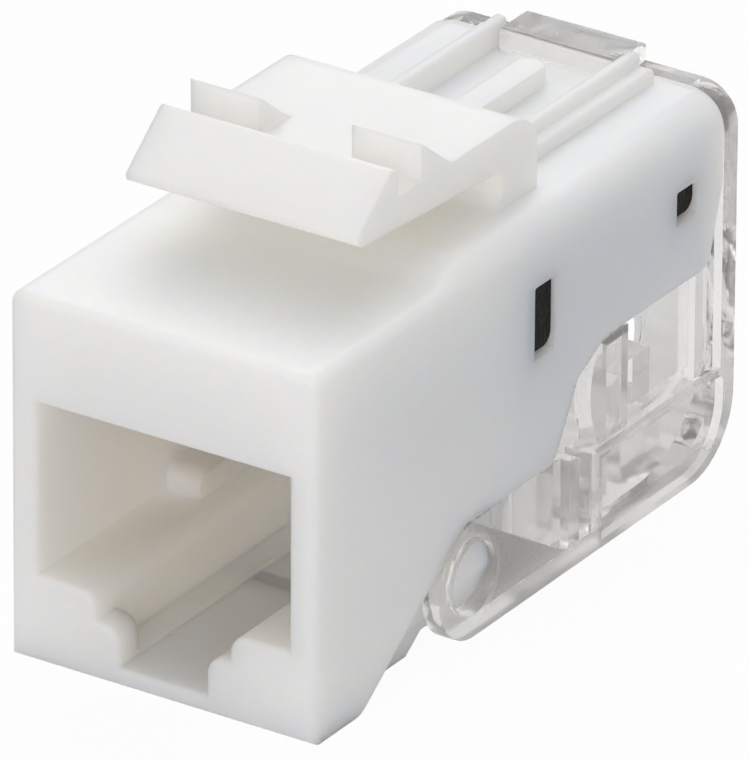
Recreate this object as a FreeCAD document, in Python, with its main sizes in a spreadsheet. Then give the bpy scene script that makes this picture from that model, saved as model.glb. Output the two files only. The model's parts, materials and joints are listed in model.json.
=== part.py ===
import FreeCAD, Part
import math
import os
import Sketcher

# Tool-less keystone jack module: a moulded housing with a plug socket and a flexing panel latch,
# a clear wiring cap that hinges at the lower front, and a dark contact carrier with its board
# and contacts inside. Millimetres. Each piece is drawn with X across, Y to the rear from the
# front face and Z up from the foot, and its placement centres the whole along Y.

Vector = FreeCAD.Vector

# Driving dimensions: alias, size and meaning.
SIZES = [
    ("body_width", 14.5, "outer width of housing and cap"),
    ("nose_height", 16.2, "height of the front face"),
    ("deck_height", 16.65, "height of the rear deck"),
    ("body_length", 30.0, "front face to the rear of the housing"),
    ("ramp_start", 9.3, "where the front deck begins to rise"),
    ("ramp_end", 11.5, "where the rear deck begins"),
    ("nose_corner", 0.6, "rounding of the nose along its top edges"),
    ("deck_corner", 1.4, "rounding of the rear body along its top edges"),
    ("front_edge", 0.4, "rounding around the front face"),
    ("foot_length", 3.4, "flat foot under the front face"),
    ("foot_round", 1.2, "rounding at the rear of the foot"),
    ("slant_lead", 0.75, "end of the slanted side edge, ahead of the hinge"),
    ("edge_round", 0.8, "rounding of the side plate edges"),
    ("rise_lead", 2.6, "start of the rising side edge, ahead of the second wire slot"),
    ("rise_run", 1.75, "length of the steep stretch of that edge"),
    ("rise_bend_height", 8.4, "height where that edge bends over"),
    ("rise_last_run", 2.0, "length of the shallow stretch of that edge"),
    ("bay_top", 9.45, "lower edge of the side plates at the rear"),
    ("rear_lip_inset", 1.0, "lower rear corner of the side plates, ahead of the rear"),
    ("rear_lip_height", 13.0, "where the slanted rear edge ends"),
    ("jamb", 1.25, "thickness of the walls beside the plug socket"),
    ("socket_floor", 3.85, "shelf that carries the plug"),
    ("socket_top", 11.5, "upper edge of the socket mouth"),
    ("socket_depth", 14.0, "front face to the back of the socket"),
    ("socket_back", 0.6, "thickness of the wall behind the socket"),
    ("mouth_edge", 0.28, "rounding around the socket mouth"),
    ("catch_half", 3.2, "half width of the plug clip's channel"),
    ("catch_step", 2.6, "height of the lower catch ledges"),
    ("catch_depth", 1.5, "thickness of the catch ledges"),
    ("slot_half", 2.1, "half width of the clip's front slot"),
    ("slot_floor", 0.8, "bottom of the clip's front slot"),
    ("channel_floor", 1.1, "bottom of the clip's channel"),
    ("ledge_round", 0.78, "rounding of the ledge corners"),
    ("stop_start", 9.2, "front of the plug stops on the shelf"),
    ("stop_width", 1.7, "width of the plug stops"),
    ("stop_height", 1.15, "plug stops above the shelf"),
    ("stop_round", 0.65, "rounding of the front of the plug stops"),
    ("ear_wall", 0.84, "thickness of the cap's hinge ears"),
    ("core_foot", 1.5, "underside of the core beside the fixed panel catch"),
    ("keel_inset", 0.4, "fixed panel catch, inside the core's sides"),
    ("keel_end", 8.6, "rear edge of the fixed panel catch"),
    ("notch_start", 9.7, "front of the panel notch's roof"),
    ("notch_end", 10.4, "rear of the panel notch's roof"),
    ("notch_roof", 0.75, "height of the panel notch"),
    ("keel_rise", 10.9, "where the core comes down behind the notch"),
    ("core_bottom", 0.25, "underside of the core behind the notch"),
    ("plate_wall", 1.2, "thickness of the side plates"),
    ("roof_play", 0.1, "room between the solder tails and the chamber's roof"),
    ("tongue_cover", 0.6, "room for the contact wires over the tongue"),
    ("front_wall", 2.1, "thickness of the wall in front of the tongue"),
    ("latch_inset", 1.75, "latch, inside the housing's sides"),
    ("latch_tip", 5.55, "front of the latch hook"),
    ("latch_lip", 0.35, "depth of the hook's lower lip"),
    ("latch_lip_height", 0.3, "height of the hook's lower lip"),
    ("latch_gap", 1.71, "gap between the deck and the root of the arm"),
    ("latch_lift", 0.69, "how much wider that gap is at the hook"),
    ("latch_thickness", 1.79, "thickness of the arm at its root"),
    ("latch_ridge", 8.5, "rear face of the hook"),
    ("hook_rise", 1.6, "hook above the top of the arm"),
    ("latch_root_front", 16.2, "end of the gap under the arm"),
    ("latch_root_length", 2.5, "length of the latch root"),
    ("latch_bend", 1.75, "outer rounding of the latch root"),
    ("latch_gap_round", 0.75, "rounding at the end of the gap"),
    ("latch_soft", 0.25, "small roundings of the latch"),
    ("ear_front", 10.3, "front face of the latch ears"),
    ("ear_rise", 1.65, "latch ears above the top of the arm"),
    ("ear_run", 2.1, "length of the latch ears"),
    ("ear_foot_round", 0.9, "rounding at the foot of the ears' slope"),
    ("ear_gap_half", 2.15, "half width of the gap between the latch ears"),
    ("rail_inner", 2.9, "inner face of the deck rails"),
    ("rail_crest", 0.6, "width of the deck rails' crest"),
    ("rail_shoulder", 0.7, "width of the deck rails' shoulder"),
    ("rail_rise", 1.15, "deck rails above the deck"),
    ("shoulder_rise", 0.6, "the rails' shoulder above the deck"),
    ("rail_inset", 0.5, "end of the deck rails, ahead of the rear"),
    ("rail_soft", 0.2, "roundings of the rails"),
    ("spine_half", 0.7, "half width of the middle rail"),
    ("spine_rise", 0.85, "middle rail above the deck"),
    ("spine_inset", 2.7, "end of the middle rail, ahead of the rear"),
    ("window_lead", 1.3, "first side window, behind the socket's back wall"),
    ("window_length", 1.7, "length of both side windows"),
    ("window_cover", 0.2, "head of the side windows above the carrier"),
    ("window_drop", 3.3, "height of the first side window"),
    ("back_window_drop", 1.55, "height of the second side window"),
    ("back_window_inset", 3.5, "front of the second side window, ahead of the rear"),
    ("window_round", 0.12, "corners of the side windows"),
    ("hinge_reach", 11.65, "cap hinge axis, along"),
    ("hinge_height", 2.6, "cap hinge axis, up, and radius of the cap's ears"),
    ("pin_radius", 1.55, "hinge pins moulded on the core"),
    ("pin_setback", 0.3, "how far the pins stop short of the cap's faces"),
    ("pin_lead", 0.5, "slanted lead-in at the lower half of the pins' ends"),
    ("pin_clearance", 0.05, "running clearance of the pins in the cap"),
    ("fit", 0.06, "clearance between closed cap and housing"),
    ("ear_clearance", 0.1, "clearance around the cap's hinge ears"),
    ("rear_plate", 1.04, "thickness of the cap's rear plate"),
    ("rear_plate_rise", 0.05, "the cap's rear plate above the deck"),
    ("rear_plate_corner", 1.7, "upper corners of the cap's rear plate"),
    ("cap_round", 3.2, "lower rear rounding of the cap"),
    ("gusset_round", 5.2, "hollow rounding of the gussets between the cap's floor and rear plate"),
    ("gusset_gap", 0.5, "room between the gussets and the cable hole"),
    ("cap_ledge", 4.4, "upper edge of the cap's sides at the rear"),
    ("cap_ledge_lag", 0.85, "start of that edge, behind the second wire slot"),
    ("cap_floor", 1.0, "thickness of the cap's floor"),
    ("cap_wall", 1.3, "thickness of the cap's sides"),
    ("cap_gap", 0.65, "room for the cap's floor to swing under the core"),
    ("panel_depth", 0.4, "depth of the panels in the cap's sides"),
    ("rib_lead", 0.65, "slot between the side ribs, ahead of the second wire slot's middle"),
    ("rib_width", 0.8, "width of the side ribs"),
    ("rib_slot", 0.9, "width of the slot between the side ribs"),
    ("panel_margin", 0.35, "rim under the rear side panel"),
    ("panel_inset", 0.8, "rim behind the rear side panel"),
    ("panel_round", 2.6, "lower rear rounding of that panel"),
    ("pocket_lag", 1.25, "front of the front side panel, behind the hinge"),
    ("pocket_top", 4.3, "where the front panel's slanted rim begins"),
    ("pocket_bottom", 0.85, "where the front panel's slanted rim ends"),
    ("wire_gap", 1.05, "width of the wire slots between posts"),
    ("post_width", 2.05, "width of the wire posts"),
    ("post_top", 8.55, "top of the wire posts"),
    ("low_post_top", 5.9, "top of the last wire post of each row"),
    ("post_play", 0.1, "room between the wire posts and the carrier's skirts"),
    ("slit_floor", 6.6, "bottom of the slit for the terminal forks"),
    ("slit_width", 0.8, "width of that slit"),
    ("comb_thickness", 0.8, "thickness of the comb on the cap's sides"),
    ("comb_gap", 0.2, "room between the comb and the side plates"),
    ("comb_drop", 0.3, "how much lower the comb's first tooth is"),
    ("bulge_depth", 0.9, "how far the first tooth's front bulges"),
    ("bulge_lead", 0.15, "the bulge's corner, ahead of the tooth"),
    ("bulge_height", 7.2, "height of the bulge's corner"),
    ("bulge_round", 3.8, "rounding of the bulge"),
    ("cable_radius", 3.1, "cable hole in the rear plate"),
    ("cable_height", 5.0, "centre of the cable hole"),
    ("tab_play", 0.1, "room between the closing tab and the deck rails"),
    ("tab_length", 1.2, "front face of the closing tab, ahead of the rear"),
    ("tab_rise", 0.9, "closing tab above the deck"),
    ("tab_soft", 0.25, "roundings of the closing tab"),
    ("carrier_play", 0.1, "room around the contact carrier"),
    ("carrier_inset", 0.4, "rear of the carrier, ahead of the rear"),
    ("carrier_bottom", 8.75, "underside of the carrier's block"),
    ("seat_rise", 0.5, "the board's seat above the bed of the contact wires"),
    ("skirt_bottom", 8.2, "underside of the carrier's side skirts"),
    ("skirt_lag", 2.65, "front of the side skirts, behind the second wire slot"),
    ("skirt_length", 1.35, "length of the side skirts"),
    ("skirt_width", 0.5, "thickness of the side skirts"),
    ("tongue_inset", 0.8, "the carrier's tongue, inside the socket's sides"),
    ("tongue_play", 0.2, "room beside the tongue"),
    ("tongue_front", 3.1, "front of the carrier's tongue"),
    ("tongue_gap", 0.2, "underside of the tongue above the socket mouth"),
    ("tongue_thickness", 1.3, "thickness of the tongue"),
    ("bed_half", 4.0, "half width of the bed of the contact wires"),
    ("bed_margin", 0.8, "bed of the contact wires behind the last solder tail"),
    ("lug_setback", 0.25, "how far the snap lugs lie behind the sides"),
    ("lug_gap", 0.08, "clearance around the snap lugs"),
    ("lug_rise", 0.25, "snap lugs above the window sills"),
    ("lug_round", 0.6, "lower rear corner of the snap lugs"),
    ("board_inset", 0.35, "circuit board, inside the carrier's sides"),
    ("board_margin", 0.2, "circuit board, inside the carrier's ends"),
    ("board_thickness", 1.0, "thickness of the circuit board"),
    ("wire_width", 0.45, "width of the contact wires"),
    ("wire_thickness", 0.35, "thickness of the contact wires"),
    ("wire_pitch", 1.016, "spacing of the contact wires"),
    ("wire_front", 2.65, "front bend of the contact wires"),
    ("wire_drop", 0.6, "lower corner of the front bend, below the tongue"),
    ("wire_end_reach", 10.4, "free end of the contact wires, along"),
    ("wire_fall", 3.7, "free end of the contact wires, below the front bend"),
    ("wire_bend", 0.6, "bend radius of the contact wires"),
    ("tail_bend", 0.3, "bend radius of the solder tails"),
    ("tail_lead", 1.1, "row of the odd solder tails, behind the board's front"),
    ("tail_stagger", 1.6, "distance to the row of the even solder tails"),
    ("tail_proud", 0.2, "how far the tails stand out of the board"),
    ("tail_hole", 0.36, "radius of the board's solder holes"),
    ("fork_gap", 0.469, "room between the terminals and the outer contact wires"),
    ("fork_lead", 1.3, "first terminal, behind the carrier's front"),
    ("fork_margin", 1.85, "last terminal, ahead of the rear"),
    ("fork_width", 2.0, "width of the terminals"),
    ("fork_thickness", 0.4, "thickness of the terminals"),
    ("fork_tip", 7.4, "lower tips of the terminals"),
    ("fork_slot", 0.34, "slot of the terminals that grips the wire"),
    ("fork_slot_length", 3.6, "length of that slot"),
    ("fork_mouth", 1.1, "width of the slot's mouth"),
    ("fork_mouth_height", 0.9, "depth of the slot's mouth"),
    ("fork_tail", 0.5, "width of the terminals' solder tails"),
    ("fork_play", 0.05, "clearance of the terminals in carrier and board"),
]

CONTACTS = 8
TERMINALS_PER_SIDE = 4
BEYOND = 2.0
NEAR = 0.001


class Size:
    """A length that knows its number and the sheet expression that gives it."""

    def __init__(self, value, text):
        self.value = value
        self.text = text

    def __add__(self, other):
        other = as_size(other)
        return Size(self.value + other.value, f"({self.text} + {other.text})")

    def __sub__(self, other):
        other = as_size(other)
        return Size(self.value - other.value, f"({self.text} - {other.text})")

    def __mul__(self, other):
        other = as_size(other)
        return Size(self.value * other.value, f"({self.text} * {other.text})")

    def __truediv__(self, other):
        other = as_size(other)
        return Size(self.value / other.value, f"({self.text} / {other.text})")

    def __neg__(self):
        return Size(-self.value, f"(0 - {self.text})")


def as_size(number):
    """A plain number as a size of its own."""
    if isinstance(number, Size):
        return number
    return Size(float(number), f"({float(number)})")


class Sizes:
    """The driving dimensions, each an attribute bound to its cell of the sheet."""

    def __init__(self, sheet):
        for row, (alias, value, meaning) in enumerate(SIZES, start=1):
            sheet.set(f"A{row}", meaning)
            sheet.set(f"B{row}", str(value))
            sheet.setAlias(f"B{row}", alias)
            setattr(self, alias, Size(float(value), f"{sheet.Name}.{alias}"))


document = FreeCAD.newDocument("keystone_jack")
size_sheet = document.addObject("Spreadsheet::Sheet", "Sizes")
size = Sizes(size_sheet)
document.recompute()

half_width = size.body_width / 2
cap_inner_rear = size.body_length + size.fit
cap_rear = cap_inner_rear + size.rear_plate
cap_side_top = size.hinge_height * 2
side_edge = cap_side_top + size.ear_clearance
ear_inner = half_width - size.ear_wall
core_half = ear_inner - size.fit
core_rear = size.socket_depth + size.socket_back
socket_half = half_width - size.jamb
cavity_half = half_width - size.plate_wall
cap_inner = half_width - size.cap_wall
cap_front = core_rear + size.cap_gap
rear_plate_top = size.deck_height + size.rear_plate_rise

latch_half = half_width - size.latch_inset
latch_under = size.deck_height + size.latch_gap
latch_top = latch_under + size.latch_thickness
rear_lip_reach = size.body_length - size.rear_lip_inset

carrier_front = core_rear + size.carrier_play
carrier_rear = size.body_length - size.carrier_inset
carrier_half = cavity_half - size.carrier_play
tongue_half = socket_half - size.tongue_inset
tongue_bottom = size.socket_top + size.tongue_gap
wire_bed = tongue_bottom + size.tongue_thickness
board_front = carrier_front + size.board_margin
board_seat = wire_bed + size.seat_rise
tail_reach = board_front + size.tail_lead
tail_top = board_seat + size.board_thickness + size.tail_proud
window_head = board_seat + size.window_cover
windows = [
    (core_rear + size.window_lead, window_head - size.window_drop),
    (size.body_length - size.back_window_inset, window_head - size.back_window_drop),
]

first_fork = carrier_front + size.fork_lead
fork_pitch = (size.body_length - size.fork_margin - first_fork) / (TERMINALS_PER_SIDE - 1)
outer_wire = size.wire_pitch * (CONTACTS - 1) / 2 + size.wire_width / 2
fork_offset = outer_wire + size.fork_gap + size.fork_thickness / 2
second_slot = first_fork + fork_pitch
post_length = fork_pitch - size.wire_gap
rise_start = second_slot - size.rise_lead
rib_slot_front = second_slot - size.rib_lead
rib_front = rib_slot_front - size.rib_width
rib_back = rib_slot_front + size.rib_slot
tab_front = size.body_length - size.tab_length
# Steeper than the tab's own arc about the hinge, so that the tab leaves the deck as it opens.
tab_fall = (tab_front - size.hinge_reach) / (size.deck_height - size.hinge_height) * 1.12
cuts = []


def bind(target, path, length):
    """Ties a property to the sheet."""
    target.setExpression(path, as_size(length).text)


def new_body(label):
    """A sub-part whose front face is moved ahead so that the whole is centred along Y."""
    body = document.addObject("PartDesign::Body", label)
    body.Label = label
    bind(body, "Placement.Base.y", -cap_rear / 2)
    return body


def new_sketch(body, name, role, offset=0):
    """A sketch on one of the body's origin planes, moved along the plane's normal."""
    plane = next(item for item in body.Origin.OriginFeatures if item.Role == role)
    sketch = body.newObject("Sketcher::SketchObject", f"{body.Name}_{name}")
    sketch.AttachmentSupport = [(plane, "")]
    sketch.MapMode = "FlatFace"
    bind(sketch, "AttachmentOffset.Base.z", offset)
    return sketch


def side_sketch(body, name, across=0):
    """A sketch of Y along and Z up, at a distance from the middle plane."""
    return new_sketch(body, name, "YZ_Plane", across)


def front_sketch(body, name, along=0):
    """A sketch of X across and Z up, at a distance behind the front face."""
    return new_sketch(body, name, "XZ_Plane", -as_size(along))


def plan_sketch(body, name, up=0):
    """A sketch of X across and Y along, at a height above the foot."""
    return new_sketch(body, name, "XY_Plane", up)


def hold(sketch, kind, first, place, length):
    """Adds a dimension from the sketch's origin to a point, tied to the sheet."""
    length = as_size(length)
    row = sketch.addConstraint(Sketcher.Constraint(kind, -1, 1, first, place, length.value))
    bind(sketch, f"Constraints[{row}]", length)


def hold_radius(sketch, item, radius):
    """Gives an arc or circle a radius tied to the sheet."""
    row = sketch.addConstraint(Sketcher.Constraint("Radius", item, radius.value))
    bind(sketch, f"Constraints[{row}]", radius)


def rounding(before, corner, after, radius):
    """Where an arc of this radius leaves the two sides of a corner, and its centre and turn."""
    back = (before - corner).normalize()
    ahead = (after - corner).normalize()
    half = back.getAngle(ahead) / 2
    reach = radius / math.tan(half)
    centre = corner + (back + ahead).normalize() * (radius / math.sin(half))
    turn = ahead.cross(back).z
    return corner + back * reach, corner + ahead * reach, centre, turn


def outline(sketch, corners):
    """Draws a closed outline through corners of across, up and perhaps a radius."""
    count = len(corners)
    places = [Vector(as_size(item[0]).value, as_size(item[1]).value, 0) for item in corners]
    starts = list(places)
    ends = list(places)
    arcs = {}
    for number, item in enumerate(corners):
        if len(item) > 2:
            after = places[(number + 1) % count]
            made = rounding(places[number - 1], places[number], after, item[2].value)
            starts[number], ends[number] = made[:2]
            arcs[number] = made
    first = sketch.GeometryCount
    for number in range(count):
        sketch.addGeometry(Part.LineSegment(ends[number], starts[(number + 1) % count]))
    for number, item in enumerate(corners):
        before = first + (number - 1) % count
        line = first + number
        if number not in arcs:
            sketch.addConstraint(Sketcher.Constraint("Coincident", before, 2, line, 1))
            hold(sketch, "DistanceX", line, 1, item[0])
            hold(sketch, "DistanceY", line, 1, item[1])
            continue
        start, end, centre, turn = arcs[number]
        angles = [math.atan2(spot.y - centre.y, spot.x - centre.x) for spot in (start, end)]
        entry, leave = (1, 2) if turn > 0 else (2, 1)
        if turn < 0:
            angles.reverse()
        ring = Part.Circle(centre, Vector(0, 0, 1), item[2].value)
        arc = sketch.addGeometry(Part.ArcOfCircle(ring, *angles))
        mark = sketch.addGeometry(Part.Point(places[number]), True)
        hold(sketch, "DistanceX", mark, 1, item[0])
        hold(sketch, "DistanceY", mark, 1, item[1])
        sketch.addConstraint(Sketcher.Constraint("PointOnObject", mark, 1, before))
        sketch.addConstraint(Sketcher.Constraint("PointOnObject", mark, 1, line))
        sketch.addConstraint(Sketcher.Constraint("Tangent", before, 2, arc, entry))
        sketch.addConstraint(Sketcher.Constraint("Tangent", arc, leave, line, 1))
        hold_radius(sketch, arc, item[2])


def mirrored(corners):
    """The same outline on the other side of the middle plane."""
    return [(-as_size(item[0]), *item[1:]) for item in reversed(corners)]


def rectangle(left, low, right, high):
    """Corners of a plain rectangle."""
    return [(left, low), (right, low), (right, high), (left, high)]


def circle(sketch, across, up, radius):
    """Draws a circle tied to the sheet."""
    centre = Vector(as_size(across).value, as_size(up).value, 0)
    ring = sketch.addGeometry(Part.Circle(centre, Vector(0, 0, 1), radius.value))
    hold(sketch, "DistanceX", ring, 3, across)
    hold(sketch, "DistanceY", ring, 3, up)
    hold_radius(sketch, ring, radius)


def feature(kind, sketch, length, side, backwards):
    """A pad or pocket of a sketch over a length tied to the sheet."""
    body = sketch.getParentGeoFeatureGroup()
    made = body.newObject(f"PartDesign::{kind}", f"{sketch.Name}_{kind.lower()}")
    made.Profile = sketch
    made.SideType = side
    made.Reversed = backwards
    bind(made, "Length", length)
    return made


def pad(sketch, length, side="One side", backwards=False):
    """Adds material from a sketch."""
    return feature("Pad", sketch, length, side, backwards)


def pocket(sketch, length, side="One side", backwards=False):
    """Removes material from a sketch, and is checked later to have removed some."""
    made = feature("Pocket", sketch, length, side, backwards)
    cuts.append(made)
    return made


def soften(body, radius, picks):
    """Rounds the edges of the body's newest shape that pass the test."""
    document.recompute()
    base = body.Tip
    names = [f"Edge{number}" for number, edge in enumerate(base.Shape.Edges, start=1) if picks(edge)]
    made = body.newObject("PartDesign::Fillet", f"{base.Name}_soft")
    made.Base = (base, names)
    bind(made, "Radius", radius)
    return made


def crease(along, up):
    """A test for the edges that run across at this distance along and this height."""
    def on_line(edge):
        box = edge.BoundBox
        off_along = max(abs(box.YMin - along.value), abs(box.YMax - along.value))
        off_height = max(abs(box.ZMin - up.value), abs(box.ZMax - up.value))
        return max(off_along, off_height) < NEAR
    return on_line


def top_section(height, corner):
    """Cross-section of the housing's block, with rounded upper corners."""
    return [
        (-half_width, 0),
        (half_width, 0),
        (half_width, height, corner),
        (-half_width, height, corner),
    ]


def block(body):
    """The housing's outer block: nose, rising ramp and rear body."""
    nose = front_sketch(body, "nose")
    outline(nose, top_section(size.nose_height, size.nose_corner))
    pad(nose, size.ramp_start, backwards=True)
    ramp_foot = front_sketch(body, "ramp_foot", size.ramp_start)
    outline(ramp_foot, top_section(size.nose_height, size.nose_corner))
    ramp_head = front_sketch(body, "ramp_head", size.ramp_end)
    outline(ramp_head, top_section(size.deck_height, size.deck_corner))
    ramp = body.newObject("PartDesign::AdditiveLoft", "housing_ramp")
    ramp.Profile = ramp_foot
    ramp.Sections = [ramp_head]
    ramp.Ruled = True
    rear = front_sketch(body, "rear", size.ramp_end)
    outline(rear, top_section(size.deck_height, size.deck_corner))
    pad(rear, size.body_length - size.ramp_end, backwards=True)
    soften(body, size.front_edge, lambda edge: edge.BoundBox.YMax < NEAR)


def underside(body):
    """The lower edges of the side plates, and the core that stands between them."""
    below = side_sketch(body, "underside")
    bend = rise_start + size.rise_run
    outline(below, [
        (size.foot_length - 1, -BEYOND),
        (size.body_length + BEYOND, -BEYOND),
        (size.body_length + BEYOND, size.rear_lip_height),
        (size.body_length, size.rear_lip_height),
        (rear_lip_reach, size.bay_top, size.edge_round),
        (bend + size.rise_last_run, size.bay_top, size.edge_round),
        (bend, size.rise_bend_height, size.edge_round),
        (rise_start, side_edge, size.edge_round),
        (size.hinge_reach - size.slant_lead, side_edge, size.edge_round),
        (size.foot_length, 0, size.foot_round),
        (size.foot_length - 1, 0),
    ])
    pocket(below, size.body_width + BEYOND, "Symmetric")
    around_ear = side_sketch(body, "around_ear")
    circle(around_ear, size.hinge_reach, size.hinge_height, size.hinge_height + size.ear_clearance)
    pocket(around_ear, size.body_width + BEYOND, "Symmetric")
    core = side_sketch(body, "core")
    core_start = size.foot_length - size.foot_round
    outline(core, rectangle(core_start, size.core_foot, core_rear, side_edge + BEYOND))
    pad(core, core_half * 2, "Symmetric")
    keel = side_sketch(body, "keel")
    outline(keel, [
        (core_start, 0),
        (size.keel_end, 0),
        (size.notch_start, size.notch_roof),
        (size.notch_end, size.notch_roof),
        (size.keel_rise, size.core_bottom),
        (core_rear, size.core_bottom),
        (core_rear, size.socket_floor),
        (core_start, size.socket_floor),
    ])
    pad(keel, (core_half - size.keel_inset) * 2, "Symmetric")


def hinge_pins(body):
    """The two hinge pins on the core, with a slanted lead-in for the cap's ears."""
    pins = side_sketch(body, "pins")
    circle(pins, size.hinge_reach, size.hinge_height, size.pin_radius)
    pin_end = half_width - size.pin_setback
    pad(pins, pin_end * 2, "Symmetric")
    slant = [
        (pin_end, size.hinge_height),
        (pin_end - size.pin_lead, size.hinge_height - size.pin_radius),
        (half_width, size.hinge_height - size.pin_radius),
        (half_width, size.hinge_height),
    ]
    lead_in = front_sketch(body, "pin_lead_in", size.hinge_reach - size.pin_radius)
    outline(lead_in, slant)
    outline(lead_in, mirrored(slant))
    pocket(lead_in, size.pin_radius * 2)


def mouth_rim(edge):
    """Whether an edge is part of the socket mouth's outline on the front face."""
    box = edge.BoundBox
    across = max(abs(box.XMin), abs(box.XMax))
    return box.YMax < NEAR and across < socket_half.value + NEAR and box.ZMin > size.slot_floor.value - NEAR


def socket(body):
    """The plug socket with its catch ledges, clip channel and plug stops."""
    mouth = front_sketch(body, "mouth")
    ledges = [
        (socket_half, size.socket_floor),
        (size.catch_half, size.socket_floor, size.ledge_round),
        (size.catch_half, size.catch_step),
        (size.slot_half, size.catch_step, size.ledge_round),
        (size.slot_half, size.slot_floor),
    ]
    top = [(socket_half, size.socket_top)]
    outline(mouth, top + mirrored(top) + mirrored(ledges)[::-1] + ledges[::-1])
    pocket(mouth, size.socket_depth)
    soften(body, size.mouth_edge, mouth_rim)
    channel = front_sketch(body, "channel", size.catch_depth)
    stop_top = size.socket_floor + size.stop_height
    outline(channel, rectangle(-size.catch_half, size.channel_floor, size.catch_half, stop_top))
    pocket(channel, size.socket_depth - size.catch_depth)
    for name, across in [("left_stop", -socket_half), ("right_stop", socket_half - size.stop_width)]:
        stop = side_sketch(body, name, across)
        outline(stop, [
            (size.stop_start, size.catch_step),
            (size.socket_depth, size.catch_step),
            (size.socket_depth, stop_top),
            (size.stop_start, stop_top, size.stop_round),
        ])
        pad(stop, size.stop_width)


def chamber(body):
    """The chamber for the contact carrier, open below and to the rear, and its windows."""
    room = front_sketch(body, "chamber", core_rear)
    outline(room, rectangle(-cavity_half, -BEYOND, cavity_half, tail_top + size.roof_play))
    pocket(room, size.body_length - core_rear + BEYOND)
    over_socket = front_sketch(body, "over_socket", size.front_wall)
    half = tongue_half + size.tongue_play
    low = size.socket_top - size.nose_corner
    outline(over_socket, rectangle(-half, low, half, wire_bed + size.tongue_cover))
    pocket(over_socket, core_rear - size.front_wall + BEYOND)
    openings = side_sketch(body, "windows")
    for front, sill in windows:
        back = front + size.window_length
        outline(openings, [
            (front, sill, size.window_round),
            (back, sill, size.window_round),
            (back, window_head, size.window_round),
            (front, window_head, size.window_round),
        ])
    pocket(openings, size.body_width + BEYOND, "Symmetric")


def latch(body):
    """The flexing panel latch: root, arm, front hook and two rear ears."""
    arm = side_sketch(body, "latch")
    root_rear = size.latch_root_front + size.latch_root_length
    root_foot = size.deck_height - size.deck_corner
    tip_under = latch_under + size.latch_lift
    outline(arm, [
        (root_rear, root_foot),
        (root_rear, latch_top, size.latch_bend),
        (size.latch_ridge, latch_top, size.latch_soft),
        (size.latch_ridge, latch_top + size.hook_rise, size.latch_soft),
        (size.latch_tip, tip_under + size.latch_lip_height, size.latch_soft),
        (size.latch_tip + size.latch_lip, tip_under, size.latch_soft),
        (size.latch_root_front, latch_under, size.latch_gap_round),
        (size.latch_root_front, root_foot),
    ])
    pad(arm, latch_half * 2, "Symmetric")
    soften(body, size.latch_gap_round, crease(size.latch_root_front, size.deck_height))
    ears = side_sketch(body, "ears")
    sunk = latch_top - size.latch_soft
    ear_rear = size.ear_front + size.ear_run
    ear_top = latch_top + size.ear_rise
    outline(ears, [
        (size.ear_front, sunk),
        (ear_rear + size.latch_soft, sunk),
        (ear_rear, latch_top),
        (size.ear_front, ear_top),
    ])
    pad(ears, latch_half * 2, "Symmetric")
    soften(body, size.ear_foot_round, crease(ear_rear, latch_top))
    between = side_sketch(body, "ear_gap")
    gap_front = size.ear_front - size.latch_soft
    outline(between, rectangle(gap_front, latch_top, ear_rear + BEYOND, ear_top + BEYOND))
    pocket(between, size.ear_gap_half * 2, "Symmetric")


def rails(body):
    """The stepped rails on the rear deck and the round-ended one between them."""
    foot = size.deck_height - size.deck_corner / 2
    crest = size.rail_inner + size.rail_crest
    shoulder = crest + size.rail_shoulder
    crest_top = size.deck_height + size.rail_rise
    shoulder_top = size.deck_height + size.shoulder_rise
    right = [
        (size.rail_inner, foot),
        (shoulder, foot),
        (shoulder, shoulder_top, size.rail_soft),
        (crest, shoulder_top),
        (crest, crest_top, size.rail_soft),
        (size.rail_inner, crest_top, size.rail_soft),
    ]
    outer = front_sketch(body, "rails", size.latch_root_front)
    outline(outer, right)
    outline(outer, mirrored(right))
    pad(outer, size.body_length - size.rail_inset - size.latch_root_front, backwards=True)
    spine = plan_sketch(body, "spine", foot)
    spine_end = size.body_length - size.spine_inset
    outline(spine, [
        (-size.spine_half, size.latch_root_front),
        (size.spine_half, size.latch_root_front),
        (size.spine_half, spine_end, size.spine_half * 0.95),
        (-size.spine_half, spine_end, size.spine_half * 0.95),
    ])
    pad(spine, size.deck_height + size.spine_rise - foot)
    ramp = side_sketch(body, "tab_ramp")
    start = tab_front - size.ear_clearance
    run = size.body_length - start
    outline(ramp, [
        (start, size.deck_height),
        (size.body_length + run, size.deck_height - tab_fall * run * 2),
        (size.body_length + run, size.deck_height + BEYOND),
        (start, size.deck_height + BEYOND),
    ])
    pocket(ramp, size.rail_inner * 2, "Symmetric")


def housing():
    """The white moulded housing."""
    body = new_body("housing")
    block(body)
    underside(body)
    hinge_pins(body)
    latch(body)
    rails(body)
    socket(body)
    chamber(body)
    return body


def upper_corner(edge):
    """Whether an edge is one of the upper side corners of the cap's rear plate."""
    box = edge.BoundBox
    return box.ZMin > rear_plate_top.value - NEAR and box.XLength < NEAR


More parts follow.
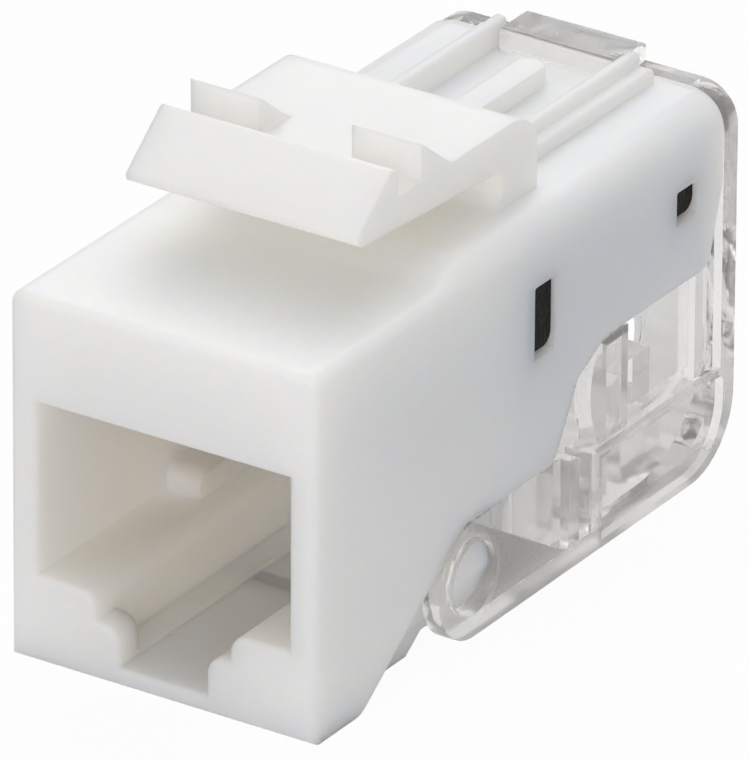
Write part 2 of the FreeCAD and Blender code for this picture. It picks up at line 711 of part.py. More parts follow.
def cap_shell(body):
    """The cap's sides, floor and rear plate, hollowed from one profile."""
    profile = side_sketch(body, "profile")
    ear_front = size.hinge_reach - size.hinge_height
    ear_round = size.hinge_height * 0.999
    outline(profile, [
        (ear_front, 0, ear_round),
        (cap_rear, 0, size.cap_round),
        (cap_rear, rear_plate_top),
        (cap_inner_rear, rear_plate_top),
        (cap_inner_rear, size.cap_ledge),
        (second_slot + size.cap_ledge_lag, size.cap_ledge),
        (rise_start, cap_side_top),
        (ear_front, cap_side_top, ear_round),
    ])
    pad(profile, size.body_width, "Symmetric")
    soften(body, size.rear_plate_corner, upper_corner)
    between_ears = plan_sketch(body, "between_ears", -BEYOND)
    outline(between_ears, rectangle(-ear_inner, 0, ear_inner, cap_front))
    pocket(between_ears, side_edge + BEYOND * 2, backwards=True)
    room = plan_sketch(body, "room", size.cap_floor)
    outline(room, rectangle(-cap_inner, cap_front - BEYOND, cap_inner, cap_inner_rear))
    pocket(room, rear_plate_top, backwards=True)
    holes = side_sketch(body, "hinge_holes")
    circle(holes, size.hinge_reach, size.hinge_height, size.pin_radius + size.pin_clearance)
    pocket(holes, size.body_width + BEYOND, "Symmetric")
    cable = front_sketch(body, "cable_hole", cap_inner_rear - BEYOND)
    circle(cable, 0, size.cable_height, size.cable_radius)
    pocket(cable, size.rear_plate + BEYOND * 2)


def cap_gussets(body):
    """Hollow-edged gussets between the cap's floor and rear plate, beside the cable hole."""
    sunk_floor = size.cap_floor / 2
    sunk_plate = cap_inner_rear + size.rear_plate / 2
    front = cap_inner_rear - size.gusset_round - sunk_floor
    top = size.cap_floor + size.gusset_round + sunk_floor
    inner = size.cable_radius + size.gusset_gap
    for name, side in (("right", 1), ("left", -1)):
        gusset = side_sketch(body, f"{name}_gusset", inner * side)
        outline(gusset, [
            (front, sunk_floor),
            (sunk_plate, sunk_floor, size.cap_round),
            (sunk_plate, top),
            (cap_inner_rear, top),
            (cap_inner_rear, size.cap_floor, size.gusset_round),
            (front, size.cap_floor),
        ])
        pad(gusset, cap_inner - inner, backwards=side < 0)


def cap_panels(body):
    """Sunk panels and the wire slot in the outer faces of the cap's sides."""
    panel_front = rib_back + size.rib_width
    panel_end = cap_rear - size.panel_inset
    panel_top = size.cap_ledge - size.panel_margin
    pocket_front = size.hinge_reach + size.pocket_lag
    front = [
        (pocket_front, size.pocket_top),
        (rib_front, size.pocket_bottom),
        (rib_front, cap_side_top + BEYOND),
        (pocket_front, cap_side_top + BEYOND),
    ]
    slot = rectangle(rib_slot_front, size.cap_floor, rib_back, cap_side_top + BEYOND)
    rear = [
        (panel_front, size.panel_margin),
        (panel_end, size.panel_margin, size.panel_round),
        (panel_end, panel_top, size.panel_margin),
        (panel_front, panel_top),
    ]
    for name, side, inwards in (("right", 1, True), ("left", -1, False)):
        face = half_width * side
        panels = side_sketch(body, f"{name}_panels", face)
        outline(panels, front)
        outline(panels, rear)
        pocket(panels, size.panel_depth, backwards=not inwards)
        wire_slot = side_sketch(body, f"{name}_wire_slot", face)
        outline(wire_slot, slot)
        pocket(wire_slot, size.cap_wall + size.fit, backwards=not inwards)


def post_front(number):
    """Front of a wire post, which begins behind the wire slot of the same number."""
    return first_fork + fork_pitch * number + size.wire_gap / 2


def cap_posts(body):
    """Two rows of wire posts on the cap's floor, slit lengthways for the terminal forks."""
    outer = carrier_half - size.skirt_width - size.post_play
    for number, top in enumerate([size.post_top, size.post_top, size.low_post_top]):
        front = post_front(number)
        posts = plan_sketch(body, f"posts_{number + 1}", size.cap_floor / 2)
        corners = rectangle(outer - size.post_width, front, outer, front + post_length)
        outline(posts, corners)
        outline(posts, mirrored(corners))
        pad(posts, top - size.cap_floor / 2)
    slits = plan_sketch(body, "slits", size.slit_floor)
    slit_start = fork_offset - size.slit_width / 2
    slit = rectangle(slit_start, cap_front, slit_start + size.slit_width, size.body_length)
    outline(slits, slit)
    outline(slits, mirrored(slit))
    pocket(slits, size.post_top, backwards=True)


def cap_comb(body):
    """The comb along the top of the cap's sides, whose gaps lead the wires out."""
    foot = size.cap_ledge - size.panel_margin
    top = size.bay_top - size.comb_gap
    first_top = top - size.comb_drop
    first = post_front(1)
    last = post_front(TERMINALS_PER_SIDE - 1)
    lip_slope = (size.rear_lip_height - size.bay_top) / size.rear_lip_inset
    lip_start = rear_lip_reach + size.comb_gap
    lip_top = top + lip_slope * (cap_inner_rear - lip_start)
    sunk_plate = cap_inner_rear + size.rear_plate / 2
    bulging = [
        (first + size.bulge_depth, foot),
        (first + post_length, foot),
        (first + post_length, first_top),
        (first + size.bulge_depth, first_top),
        (first - size.bulge_lead, size.bulge_height, size.bulge_round),
    ]
    slanted = [
        (last, foot),
        (sunk_plate, foot),
        (sunk_plate, lip_top),
        (cap_inner_rear, lip_top),
        (lip_start, top),
        (last, top),
    ]
    for name, side in (("right", 1), ("left", -1)):
        teeth = side_sketch(body, f"{name}_comb", cavity_half * side)
        outline(teeth, bulging)
        outline(teeth, slanted)
        pad(teeth, size.comb_thickness, backwards=side < 0)


def cap_tab(body):
    """The tab at the top of the rear plate that closes over the deck."""
    tab = side_sketch(body, "tab")
    rise = size.deck_height + size.fit
    foot = rise - tab_fall * (cap_inner_rear - tab_front)
    top = size.deck_height + size.tab_rise
    outline(tab, [
        (tab_front, rise),
        (cap_inner_rear, foot),
        (cap_rear, foot),
        (cap_rear, top, size.tab_soft),
        (tab_front, top, size.tab_soft),
    ])
    pad(tab, (size.rail_inner - size.tab_play) * 2, "Symmetric")


def wiring_cap():
    """The clear hinged cap that lays the wires into the terminals."""
    body = new_body("wiring_cap")
    cap_shell(body)
    cap_gussets(body)
    cap_panels(body)
    cap_posts(body)
    cap_comb(body)
    cap_tab(body)
    return body


def fork_places():
    """Side of the middle plane and distance along of every terminal."""
    for side in (1, -1):
        for number in range(TERMINALS_PER_SIDE):
            yield side, first_fork + fork_pitch * number


def fork_slot(side, place, along):
    """Outline in plan of the room for a terminal of this length along."""
    middle = fork_offset * side
    across = size.fork_thickness / 2 + size.fork_play
    reach = along / 2 + size.fork_play
    return rectangle(middle - across, place - reach, middle + across, place + reach)


def contact_carrier():
    """The dark insert: terminal block with snap lugs, and a tongue over the socket."""
    body = new_body("contact_carrier")
    main = side_sketch(body, "block")
    outline(main, rectangle(carrier_front, size.carrier_bottom, carrier_rear, board_seat))
    pad(main, carrier_half * 2, "Symmetric")
    tongue = side_sketch(body, "tongue")
    nose = size.tongue_thickness * 0.4
    outline(tongue, [
        (size.tongue_front, tongue_bottom, nose),
        (carrier_front + BEYOND, tongue_bottom),
        (carrier_front + BEYOND, wire_bed),
        (size.tongue_front, wire_bed, nose),
    ])
    pad(tongue, tongue_half * 2, "Symmetric")
    lugs = side_sketch(body, "lugs")
    for front, sill in windows:
        back = front + size.window_length - size.lug_gap
        low = sill + size.lug_rise
        outline(lugs, [
            (front + size.lug_gap, low),
            (back, low, size.lug_round),
            (back, board_seat),
            (front + size.lug_gap, board_seat),
        ])
    pad(lugs, (half_width - size.lug_setback) * 2, "Symmetric")
    bed = plan_sketch(body, "wire_bed", wire_bed)
    bed_end = tail_reach + size.tail_stagger + size.bed_margin
    outline(bed, rectangle(-size.bed_half, carrier_front - BEYOND, size.bed_half, bed_end))
    pocket(bed, size.board_thickness, backwards=True)
    skirts = plan_sketch(body, "skirts", size.skirt_bottom)
    skirt_front = second_slot + size.skirt_lag
    skirt_back = skirt_front + size.skirt_length
    skirt = rectangle(carrier_half - size.skirt_width, skirt_front, carrier_half, skirt_back)
    outline(skirts, skirt)
    outline(skirts, mirrored(skirt))
    pad(skirts, board_seat - size.skirt_bottom - size.board_thickness)
    slots = plan_sketch(body, "terminal_slots", size.carrier_bottom - BEYOND)
    for side, place in fork_places():
        outline(slots, fork_slot(side, place, size.fork_width))
    pocket(slots, board_seat, backwards=True)
    return body


def wire_x(number):
    """Distance of a contact wire from the middle plane."""
    return size.wire_pitch * (number - (CONTACTS - 1) / 2)


def tail_y(number):
    """Distance along of a contact wire's solder tail: odd and even ones are staggered."""
    return tail_reach + size.tail_stagger * (number % 2)


def circuit_board():
    """The board on the carrier, pierced for every solder tail."""
    body = new_body("circuit_board")
    plan = plan_sketch(body, "plan", board_seat)
    half = carrier_half - size.board_inset
    outline(plan, rectangle(-half, board_front, half, carrier_rear - size.board_margin))
    for number in range(CONTACTS):
        circle(plan, wire_x(number), tail_y(number), size.tail_hole)
    for side, place in fork_places():
        outline(plan, fork_slot(side, place, size.fork_tail))
    pad(plan, size.board_thickness)
    return body


def jack_contact(number):
    """One contact wire: solder tail, run along the tongue, front bend and sprung end."""
    body = new_body(f"jack_contact_{number + 1}")
    bind(body, "Placement.Base.x", wire_x(number))
    thick = size.wire_thickness
    tail = tail_y(number)
    turn = tongue_bottom - size.wire_drop
    end_height = turn - size.wire_fall
    fall = size.wire_fall / (size.wire_end_reach - size.wire_front)
    lean = math.hypot(1, fall.value)
    inner_bend = size.wire_bend - thick
    strip = side_sketch(body, "strip")
    outline(strip, [
        (tail + thick / 2, tail_top),
        (tail - thick / 2, tail_top),
        (tail - thick / 2, wire_bed + thick, size.tail_bend),
        (size.wire_front - thick / 2, wire_bed + thick, size.wire_bend),
        (size.wire_front - thick / 2, turn - thick * 0.6, size.wire_bend),
        (size.wire_end_reach, end_height - thick * lean / 2),
        (size.wire_end_reach, end_height + thick * lean / 2),
        (size.wire_front + thick / 2, turn + thick * 0.4, inner_bend),
        (size.wire_front + thick / 2, wire_bed, inner_bend),
        (tail + thick / 2, wire_bed, size.tail_bend),
    ])
    pad(strip, size.wire_width, "Symmetric")
    return body


def terminal(number, side, place):
    """One insulation-displacing terminal: slotted fork below, solder tail above."""
    body = new_body(f"idc_terminal_{number + 1}")
    bind(body, "Placement.Base.x", fork_offset * side)
    bind(body, "Placement.Base.y", place - cap_rear / 2)
    half = size.fork_width / 2
    right = [
        (size.fork_slot / 2, size.fork_tip + size.fork_slot_length),
        (size.fork_slot / 2, size.fork_tip + size.fork_mouth_height),
        (size.fork_mouth / 2, size.fork_tip),
        (half, size.fork_tip),
        (half, wire_bed),
        (size.fork_tail / 2, wire_bed),
        (size.fork_tail / 2, tail_top),
    ]
    blade = side_sketch(body, "blade")
    outline(blade, right + mirrored(right))
    pad(blade, size.fork_thickness, "Symmetric")
    return body


def check(bodies):
    """Stops when a feature failed, a pocket removed nothing or a solid isn't sound."""
    for item in document.Objects:
        if "Invalid" in item.State or "Error" in item.State:
            raise RuntimeError(f"{item.Label} failed: {item.State}")
    for cut in cuts:
        if cut.Shape.Volume > cut.BaseFeature.Shape.Volume - 1e-6:
            raise RuntimeError(f"{cut.Label} removed nothing")
    for body in bodies:
        if body.Shape.isNull() or not body.Shape.isValid():
            raise RuntimeError(f"{body.Label} has no sound shape")
        if len(body.Shape.Solids) != 1:
            raise RuntimeError(f"{body.Label} has {len(body.Shape.Solids)} solids")


def main():
    """Builds every sub-part, checks it and writes it out."""
    bodies = [housing(), wiring_cap(), contact_carrier(), circuit_board()]
    bodies += [jack_contact(number) for number in range(CONTACTS)]
    bodies += [terminal(number, *spot) for number, spot in enumerate(fork_places())]
    document.recompute()
    check(bodies)
    os.makedirs("parts", exist_ok=True)
    for body in bodies:
        body.Shape.exportStep(f"parts/{body.Label}.step")


main()
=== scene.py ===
import json
import math

import bpy
from mathutils import Matrix, Vector


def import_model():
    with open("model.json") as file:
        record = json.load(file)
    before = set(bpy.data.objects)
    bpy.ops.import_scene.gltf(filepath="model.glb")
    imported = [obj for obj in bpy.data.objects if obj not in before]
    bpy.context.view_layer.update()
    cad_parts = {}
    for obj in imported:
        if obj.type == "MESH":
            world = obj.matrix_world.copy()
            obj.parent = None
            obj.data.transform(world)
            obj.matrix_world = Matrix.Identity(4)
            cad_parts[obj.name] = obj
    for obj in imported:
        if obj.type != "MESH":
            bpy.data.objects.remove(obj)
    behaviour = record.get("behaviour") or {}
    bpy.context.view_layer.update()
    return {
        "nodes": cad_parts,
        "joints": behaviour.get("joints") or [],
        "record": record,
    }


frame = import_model()

# Lengths are in metres. The socket faces -Y, the cap lies at +Y and its hinge runs across X.
MM = 0.001
HINGE = Vector(frame["joints"][0]["pos_m"])

# The photograph's view of the part.
PHOTO_WIDTH = 749
PHOTO_HEIGHT = 760
FOCAL_PIXELS = 15423
SENSOR_WIDTH = 36.0
CAMERA_AZIMUTH = math.radians(33.024)
CAMERA_ELEVATION = math.radians(26.218)
CAMERA_ROLL = math.radians(0.368)
CAMERA_DISTANCE = 611.16 * MM
CAMERA_AIM = Vector((3.944, -6.254, 11.463)) * MM
CLIP_NEAR = 0.01
CLIP_FAR = 10.0

# Edges of the mouldings.
HOUSING_EDGE = 0.14 * MM
CAP_EDGE = 0.1 * MM
CARRIER_EDGE = 0.08 * MM
WHITE_EDGE_SHADING = 0.25 * MM
SHARP_ANGLE = math.radians(35)
FLAT_ANGLE = math.radians(0.2)
WELD_DISTANCE = 0.0005 * MM

# Fields of the clear cap: where the moulding is grained, frosted or hazy, and where it is greyer with
# painted shade.
EAR_RADIUS = 1.9 * MM
SLANTED_RIM_FALL = 0.605
SLANTED_RIM_HEIGHT = 2.696 * MM
CAP_FLOOR_TOP = 1.0 * MM
FROST_INSIDE = 6.7 * MM
FROST_TOP = 4.4 * MM
FOOT_BAND_INSIDE = 6.2 * MM
FOOT_BAND_TOP = 0.95 * MM
TAB_BOTTOM = 16.75 * MM
REAR_PLATE_FRONT = 14.45 * MM
REAR_PLATE_CORE = 15.0 * MM
REAR_PLATE_TOP = 16.0 * MM
REAR_PLATE_HALF_WIDTH = 6.3 * MM
# Painted shade on the rear face stays within this distance of the middle.
PAINTED_SHADE_HALF_WIDTH = 5.5 * MM

# Studio light.
SKY_COLOUR = (0.955, 0.984, 0.99, 1)
SKY_STRENGTH = 0.385
LAMP_COLOUR = (1.0, 0.975, 0.96)
WARM_LAMP_COLOUR = (1.0, 0.93, 0.885)
PART_MIDDLE = (0, 0, 0.01)
SOCKET_SIDE = (0, -0.01, 0.01)
FLOOR_REACH = 0.5
FLOOR_LEVEL = -0.02 * MM
FLOOR_GLOW = 0.95


class Surface:
    """A material whose nodes end in one principled shader, with short calls to add to it."""

    def __init__(self, name):
        self.material = bpy.data.materials.new(name)
        self.material.use_nodes = True
        self.nodes = self.material.node_tree.nodes
        self.shader = self.nodes["Principled BSDF"]
        self.output = self.nodes["Material Output"]
        self.set("IOR", 1.5)
        self.place = self.add("ShaderNodeTexCoord").outputs["Object"]

    def add(self, kind, **settings):
        node = self.nodes.new(kind)
        for name, value in settings.items():
            setattr(node, name, value)
        return node

    def set(self, socket, value):
        self.shader.inputs[socket].default_value = value

    def join(self, source, target):
        self.material.node_tree.links.new(source, target)

    def feed(self, socket, source):
        self.join(source, self.shader.inputs[socket])

    def noise(self, size, detail=3.0, stretch=(1, 1, 1)):
        """A noise pattern whose features are about this size."""
        mapping = self.add("ShaderNodeMapping")
        mapping.inputs["Scale"].default_value = [part / size for part in stretch]
        self.join(self.place, mapping.inputs["Vector"])
        texture = self.add("ShaderNodeTexNoise")
        texture.inputs["Scale"].default_value = 1.0
        texture.inputs["Detail"].default_value = detail
        texture.inputs["Roughness"].default_value = 0.5
        self.join(mapping.outputs["Vector"], texture.inputs["Vector"])
        return texture.outputs["Fac"]

    def between(self, pattern, low, high):
        """A number that follows a pattern from low to high."""
        spread = self.add("ShaderNodeMapRange")
        spread.inputs["From Min"].default_value = 0.3
        spread.inputs["From Max"].default_value = 0.7
        spread.inputs["To Min"].default_value = low
        spread.inputs["To Max"].default_value = high
        self.join(pattern, spread.inputs["Value"])
        return spread.outputs["Result"]

    def blend(self, pattern, first, second):
        """A colour that follows a pattern from first to second."""
        ramp = self.add("ShaderNodeValToRGB")
        ramp.color_ramp.elements[0].position = 0.3
        ramp.color_ramp.elements[1].position = 0.7
        ramp.color_ramp.elements[0].color = (*first, 1)
        ramp.color_ramp.elements[1].color = (*second, 1)
        self.join(pattern, ramp.inputs["Fac"])
        return ramp.outputs["Color"]

    def bump(self, pattern, depth, edge=0.0):
        """Fine relief of this depth, with edges shaded as if rounded by the edge radius."""
        node = self.add("ShaderNodeBump")
        node.inputs["Distance"].default_value = depth
        self.join(pattern, node.inputs["Height"])
        if edge:
            rounded = self.add("ShaderNodeBevel", samples=4)
            rounded.inputs["Radius"].default_value = edge
            self.join(rounded.outputs["Normal"], node.inputs["Normal"])
        return node.outputs["Normal"]

    def work(self, operation, first, second):
        """One step of arithmetic on two sockets or numbers."""
        node = self.add("ShaderNodeMath", operation=operation)
        for value, entry in zip((first, second), node.inputs):
            if isinstance(value, (int, float)):
                entry.default_value = value
            else:
                self.join(value, entry)
        return node.outputs["Value"]

    def shift(self, number, *changes):
        """A number that changes by a fixed amount on each of the fields given with it."""
        for field, change in changes:
            number = self.work("ADD", number, self.work("MULTIPLY", field, change))
        return number

    def overlay(self, factor, shader):
        """Lets another shader take this share of the principled one's place."""
        mix = self.add("ShaderNodeMixShader")
        self.join(factor, mix.inputs["Fac"])
        self.join(self.shader.outputs["BSDF"], mix.inputs[1])
        self.join(shader, mix.inputs[2])
        self.join(mix.outputs["Shader"], self.output.inputs["Surface"])


class CapFields:
    """Factors that are 1 on one field of the clear cap and 0 elsewhere."""

    def __init__(self, surface):
        parts = surface.add("ShaderNodeSeparateXYZ")
        surface.join(surface.place, parts.inputs["Vector"])
        self.work = surface.work
        self.across = self.work("ABSOLUTE", parts.outputs["X"], 0)
        self.along = parts.outputs["Y"]
        self.up = parts.outputs["Z"]

    def over(self, number, limit):
        return self.work("GREATER_THAN", number, limit)

    def under(self, number, limit):
        return self.work("LESS_THAN", number, limit)

    def shared(self, field, *others):
        """What these fields have in common."""
        for other in others:
            field = self.work("MULTIPLY", field, other)
        return field

    def off_ears(self):
        """All but the round ears on the hinge."""
        along = self.work("POWER", self.work("SUBTRACT", self.along, HINGE.y), 2)
        up = self.work("POWER", self.work("SUBTRACT", self.up, HINGE.z), 2)
        return self.over(self.work("ADD", along, up), EAR_RADIUS ** 2)

    def grained_and_shaded(self):
        """The triangles under the slanted rim, behind the hinge: grained, and painted with shade
        mottled by the grain.
        """
        rim = self.work("ADD", self.up, self.work("MULTIPLY", self.along, SLANTED_RIM_FALL))
        under_rim = self.under(rim, SLANTED_RIM_HEIGHT)
        over_floor = self.over(self.up, CAP_FLOOR_TOP)
        behind_hinge = self.over(self.along, HINGE.y)
        return self.shared(under_rim, over_floor, behind_hinge, self.off_ears())

    def frosted(self):
        """The outer faces of the sides, below the comb."""
        outside = self.over(self.across, FROST_INSIDE)
        low = self.under(self.up, FROST_TOP)
        return self.shared(outside, low, self.off_ears())

    def foot_band(self):
        """The band along the foot of each side."""
        return self.shared(self.over(self.across, FOOT_BAND_INSIDE), self.under(self.up, FOOT_BAND_TOP))

    def tab(self):
        """The tab over the deck."""
        return self.over(self.up, TAB_BOTTOM)

    def rear_plate(self):
        """The rear plate under the tab, without its rim."""
        behind = self.over(self.along, REAR_PLATE_FRONT)
        inside = self.under(self.across, REAR_PLATE_HALF_WIDTH)
        return self.shared(behind, inside, self.under(self.up, REAR_PLATE_TOP))

    def shaded_rear_face(self):
        """The outer face of the rear plate, without a band along its rim; painted shade goes here."""
        outer = self.over(self.along, REAR_PLATE_CORE)
        inside = self.under(self.across, PAINTED_SHADE_HALF_WIDTH)
        return self.shared(self.rear_plate(), inside, outer)


def white_plastic():
    """Satin white moulding that light enters a little way."""
    surface = Surface("white_plastic")
    cloud = surface.noise(6 * MM, detail=2.0)
    surface.feed("Base Color", surface.blend(cloud, (0.955, 0.943, 0.906), (0.968, 0.956, 0.92)))
    surface.feed("Roughness", surface.between(surface.noise(0.9 * MM), 0.38, 0.46))
    grain = surface.noise(0.16 * MM, detail=2.0)
    surface.feed("Normal", surface.bump(grain, 0.0015 * MM, edge=WHITE_EDGE_SHADING))
    surface.set("Subsurface Weight", 1.0)
    surface.set("Subsurface Radius", (1.0, 0.86, 0.64))
    surface.set("Subsurface Scale", 3.4 * MM)
    return surface.material


def clear_plastic():
    """Clear moulding with faint flow marks and some frosted fields, and painted shade on the grained
    triangles, the tab and the rear face; lamps shine through it.
    """
    surface = Surface("clear_plastic")
    fields = CapFields(surface)
    grained_and_shaded = fields.grained_and_shaded()
    foot_band = fields.foot_band()
    tab = fields.tab()

    clarity = surface.between(surface.noise(1.1 * MM), 0.88, 0.92)
    hazier = ((grained_and_shaded, -0.2), (foot_band, -0.06), (tab, -0.22))
    clarity = surface.shift(clarity, *hazier, (fields.rear_plate(), 0.06))
    surface.feed("Transmission Weight", clarity)

    polish = surface.between(surface.noise(0.7 * MM), 0.02, 0.06)
    polish = surface.shift(polish, (grained_and_shaded, 0.3), (fields.frosted(), 0.12), (foot_band, 0.2))
    surface.feed("Roughness", polish)

    # Painted shade: the colour turns grey on the grained triangles, mottled by a fine grain, a little
    # on the tab and strongly on the rear face.
    grain = surface.between(surface.noise(0.1 * MM, detail=2.0), 0.3, 0.6)
    painted_shade = surface.work("MULTIPLY", grained_and_shaded, grain)
    painted_shade = surface.shift(painted_shade, (tab, 0.12), (fields.shaded_rear_face(), 0.6))
    shade_tint = surface.add("ShaderNodeMix", data_type="RGBA")
    shade_tint.inputs["A"].default_value = (0.91, 0.905, 0.9, 1)
    # The grey that the painted shade reaches at full strength.
    shade_tint.inputs["B"].default_value = (0.3, 0.295, 0.29, 1)
    surface.join(painted_shade, shade_tint.inputs["Factor"])
    surface.feed("Base Color", shade_tint.outputs["Result"])

    flow = surface.noise(1.6 * MM, detail=1.0, stretch=(1, 0.35, 1))
    surface.feed("Normal", surface.bump(flow, 0.002 * MM))
    body = surface.add("ShaderNodeVolumeAbsorption")
    body.inputs["Color"].default_value = (0.82, 0.81, 0.80, 1)
    body.inputs["Density"].default_value = 110.0
    surface.join(body.outputs["Volume"], surface.output.inputs["Volume"])
    through = surface.add("ShaderNodeBsdfTransparent")
    through.inputs["Color"].default_value = (0.88, 0.875, 0.87, 1)
    path = surface.add("ShaderNodeLightPath")
    surface.overlay(path.outputs["Is Shadow Ray"], through.outputs["BSDF"])
    return surface.material


def black_plastic():
    """Fine-grained black insert."""
    surface = Surface("black_plastic")
    speck = surface.noise(0.14 * MM)
    surface.feed("Base Color", surface.blend(speck, (0.002, 0.002, 0.002), (0.022, 0.021, 0.02)))
    surface.feed("Roughness", surface.between(surface.noise(0.3 * MM), 0.42, 0.6))
    surface.set("Specular IOR Level", 0.06)
    surface.feed("Normal", surface.bump(surface.noise(0.2 * MM), 0.05 * MM))
    return surface.material


def board_green():
    """Green solder mask with a faint weave."""
    surface = Surface("board_green")
    cloud = surface.noise(1.2 * MM)
    weave = surface.noise(0.3 * MM, stretch=(1, 3, 1))
    surface.feed("Base Color", surface.blend(cloud, (0.015, 0.11, 0.045), (0.03, 0.17, 0.07)))
    surface.set("Roughness", 0.35)
    surface.feed("Normal", surface.bump(weave, 0.004 * MM))
    return surface.material


def gilt_wire():
    """Gold-plated spring wire, drawn lengthways."""
    surface = Surface("gilt_wire")
    cloud = surface.noise(0.8 * MM)
    drawn = surface.noise(0.1 * MM, stretch=(1, 0.1, 0.1))
    surface.set("Metallic", 1.0)
    surface.feed("Base Color", surface.blend(cloud, (0.83, 0.56, 0.2), (0.92, 0.68, 0.3)))
    surface.feed("Roughness", surface.between(drawn, 0.16, 0.3))
    surface.feed("Normal", surface.bump(drawn, 0.002 * MM))
    return surface.material


def tinned_bronze():
    """Stamped and tinned bronze sheet."""
    surface = Surface("tinned_bronze")
    cloud = surface.noise(1.0 * MM)
    rolled = surface.noise(0.12 * MM, stretch=(1, 1, 0.1))
    surface.set("Metallic", 1.0)
    surface.feed("Base Color", surface.blend(cloud, (0.62, 0.6, 0.56), (0.74, 0.72, 0.68)))
    surface.feed("Roughness", surface.between(rolled, 0.24, 0.4))
    surface.feed("Normal", surface.bump(rolled, 0.003 * MM))
    return surface.material


def dress():
    """Gives every piece the finish of its slot."""
    finishes = {
        "white_plastic": white_plastic(),
        "clear_plastic": clear_plastic(),
        "black_plastic": black_plastic(),
        "board": board_green(),
        "gilt_wire": gilt_wire(),
        "tinned_bronze": tinned_bronze(),
    }
    for part in frame["record"]["subparts"]:
        piece = frame["nodes"][part["node"]]
        piece.data.materials.clear()
        piece.data.materials.append(finishes[part["material_slot"]])


def soften(name, radius):
    """Rounds the sharp edges of a moulding, as its mould does."""
    piece = frame["nodes"][name]
    weld = piece.modifiers.new("weld", "WELD")
    weld.merge_threshold = WELD_DISTANCE
    flat = piece.modifiers.new("flat", "DECIMATE")
    flat.decimate_type = "DISSOLVE"
    flat.angle_limit = FLAT_ANGLE
    bevel = piece.modifiers.new("bevel", "BEVEL")
    bevel.width = radius
    bevel.segments = 2
    bevel.limit_method = "ANGLE"
    bevel.angle_limit = SHARP_ANGLE
    bevel.harden_normals = True
    bevel.use_clamp_overlap = True


def seen_ray(tree):
    """A factor that is 1 for rays from the camera and those that mirrors and glass pass on."""
    path = tree.nodes.new("ShaderNodeLightPath")
    total = path.outputs["Is Camera Ray"]
    for name in ("Is Glossy Ray", "Is Transmission Ray"):
        larger = tree.nodes.new("ShaderNodeMath")
        larger.operation = "MAXIMUM"
        tree.links.new(total, larger.inputs[0])
        tree.links.new(path.outputs[name], larger.inputs[1])
        total = larger.outputs["Value"]
    return total


def world():
    """Soft even light all round, in front of a white background."""
    made = bpy.data.worlds.new("studio")
    bpy.context.scene.world = made
    made.use_nodes = True
    tree = made.node_tree
    light = tree.nodes["Background"]
    light.inputs["Color"].default_value = SKY_COLOUR
    light.inputs["Strength"].default_value = SKY_STRENGTH
    white = tree.nodes.new("ShaderNodeBackground")
    white.inputs["Color"].default_value = (1, 1, 1, 1)
    white.inputs["Strength"].default_value = 1.0
    mix = tree.nodes.new("ShaderNodeMixShader")
    tree.links.new(seen_ray(tree), mix.inputs["Fac"])
    tree.links.new(light.outputs["Background"], mix.inputs[1])
    tree.links.new(white.outputs["Background"], mix.inputs[2])
    tree.links.new(mix.outputs["Shader"], tree.nodes["World Output"].inputs["Surface"])


def floor():
    """A plain pale floor that keeps a soft shadow and fades into the white background."""
    mesh = bpy.data.meshes.new("floor")
    corners = [(x * FLOOR_REACH, y * FLOOR_REACH, 0) for x, y in ((-1, -1), (1, -1), (1, 1), (-1, 1))]
    mesh.from_pydata(corners, [], [(0, 1, 2, 3)])
    plane = bpy.data.objects.new("floor", mesh)
    plane.location.z = FLOOR_LEVEL
    bpy.context.scene.collection.objects.link(plane)
    surface = Surface("floor_white")
    cloud = surface.noise(40 * MM)
    surface.feed("Base Color", surface.blend(cloud, (0.86, 0.86, 0.86), (0.88, 0.88, 0.88)))
    surface.set("Roughness", 0.7)
    glow = surface.add("ShaderNodeEmission")
    glow.inputs["Strength"].default_value = 1.0
    share = surface.work("MULTIPLY", seen_ray(surface.material.node_tree), FLOOR_GLOW)
    surface.overlay(share, glow.outputs["Emission"])
    mesh.materials.append(surface.material)


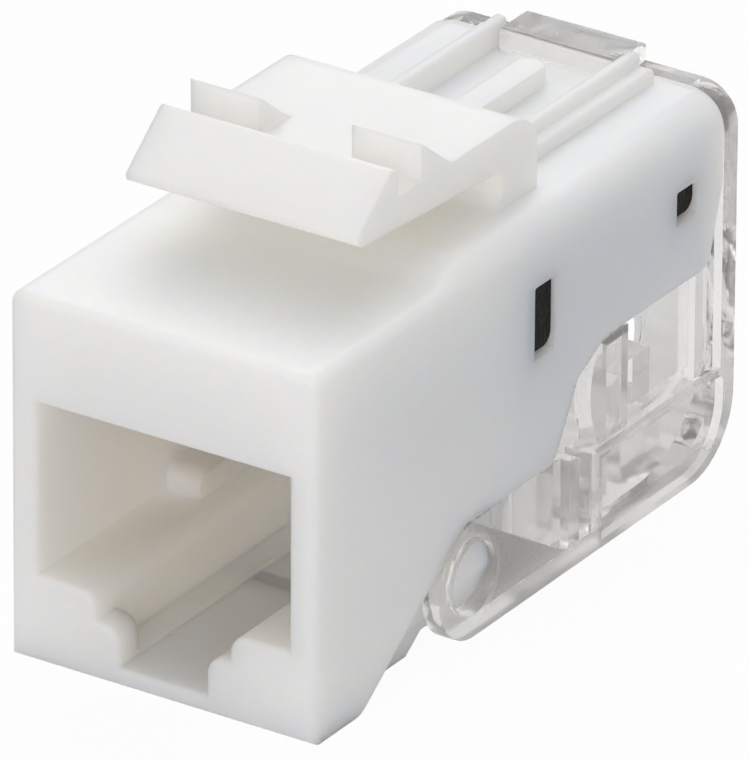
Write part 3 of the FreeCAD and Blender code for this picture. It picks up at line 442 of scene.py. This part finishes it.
def softbox(name, place, aim, width, power, colour=LAMP_COLOUR):
    """A square studio lamp that faces the part."""
    lamp = bpy.data.lights.new(name, "AREA")
    lamp.size = width
    lamp.energy = power
    lamp.color = colour
    made = bpy.data.objects.new(name, lamp)
    made.location = place
    made.rotation_mode = "QUATERNION"
    made.rotation_quaternion = (Vector(aim) - Vector(place)).to_track_quat("-Z", "Y")
    bpy.context.scene.collection.objects.link(made)


def lights():
    """A broad lamp at the front, one above, one behind and a small warm one at the front right."""
    softbox("key", (-0.12, -0.3, 0.28), PART_MIDDLE, width=0.3, power=0.09)
    softbox("top", (0, 0.02, 0.45), PART_MIDDLE, width=0.4, power=0.47)
    softbox("back", (-0.12, 0.28, 0.32), PART_MIDDLE, width=0.3, power=0.56)
    softbox("fill", (0.085, -0.2, 0.075), SOCKET_SIDE, width=0.12, power=0.132, colour=WARM_LAMP_COLOUR)


def light_paths():
    """Enough bounces for light to find its way through the clear cap and out of the socket."""
    cycles = bpy.context.scene.cycles
    cycles.max_bounces = 24
    cycles.diffuse_bounces = 14
    cycles.glossy_bounces = 20
    cycles.transmission_bounces = 24


def camera():
    """The photograph's camera."""
    turn = CAMERA_AZIMUTH
    rise = CAMERA_ELEVATION
    back = Vector((math.sin(turn) * math.cos(rise), -math.cos(turn) * math.cos(rise), math.sin(rise)))
    level = Vector((math.cos(turn), math.sin(turn), 0))
    upright = back.cross(level)
    right = level * math.cos(CAMERA_ROLL) + upright * math.sin(CAMERA_ROLL)
    up = back.cross(right)
    lens = bpy.data.cameras.new("camera")
    lens.sensor_width = SENSOR_WIDTH
    lens.lens = FOCAL_PIXELS / max(PHOTO_WIDTH, PHOTO_HEIGHT) * SENSOR_WIDTH
    lens.clip_start = CLIP_NEAR
    lens.clip_end = CLIP_FAR
    made = bpy.data.objects.new("camera", lens)
    place = CAMERA_AIM + back * CAMERA_DISTANCE
    made.matrix_world = Matrix.Translation(place) @ Matrix((right, up, back)).transposed().to_4x4()
    bpy.context.scene.collection.objects.link(made)
    bpy.context.scene.camera = made


bpy.context.scene.view_settings.view_transform = "Standard"
light_paths()
dress()
soften("housing", HOUSING_EDGE)
soften("wiring_cap", CAP_EDGE)
soften("contact_carrier", CARRIER_EDGE)
world()
floor()
lights()
camera()
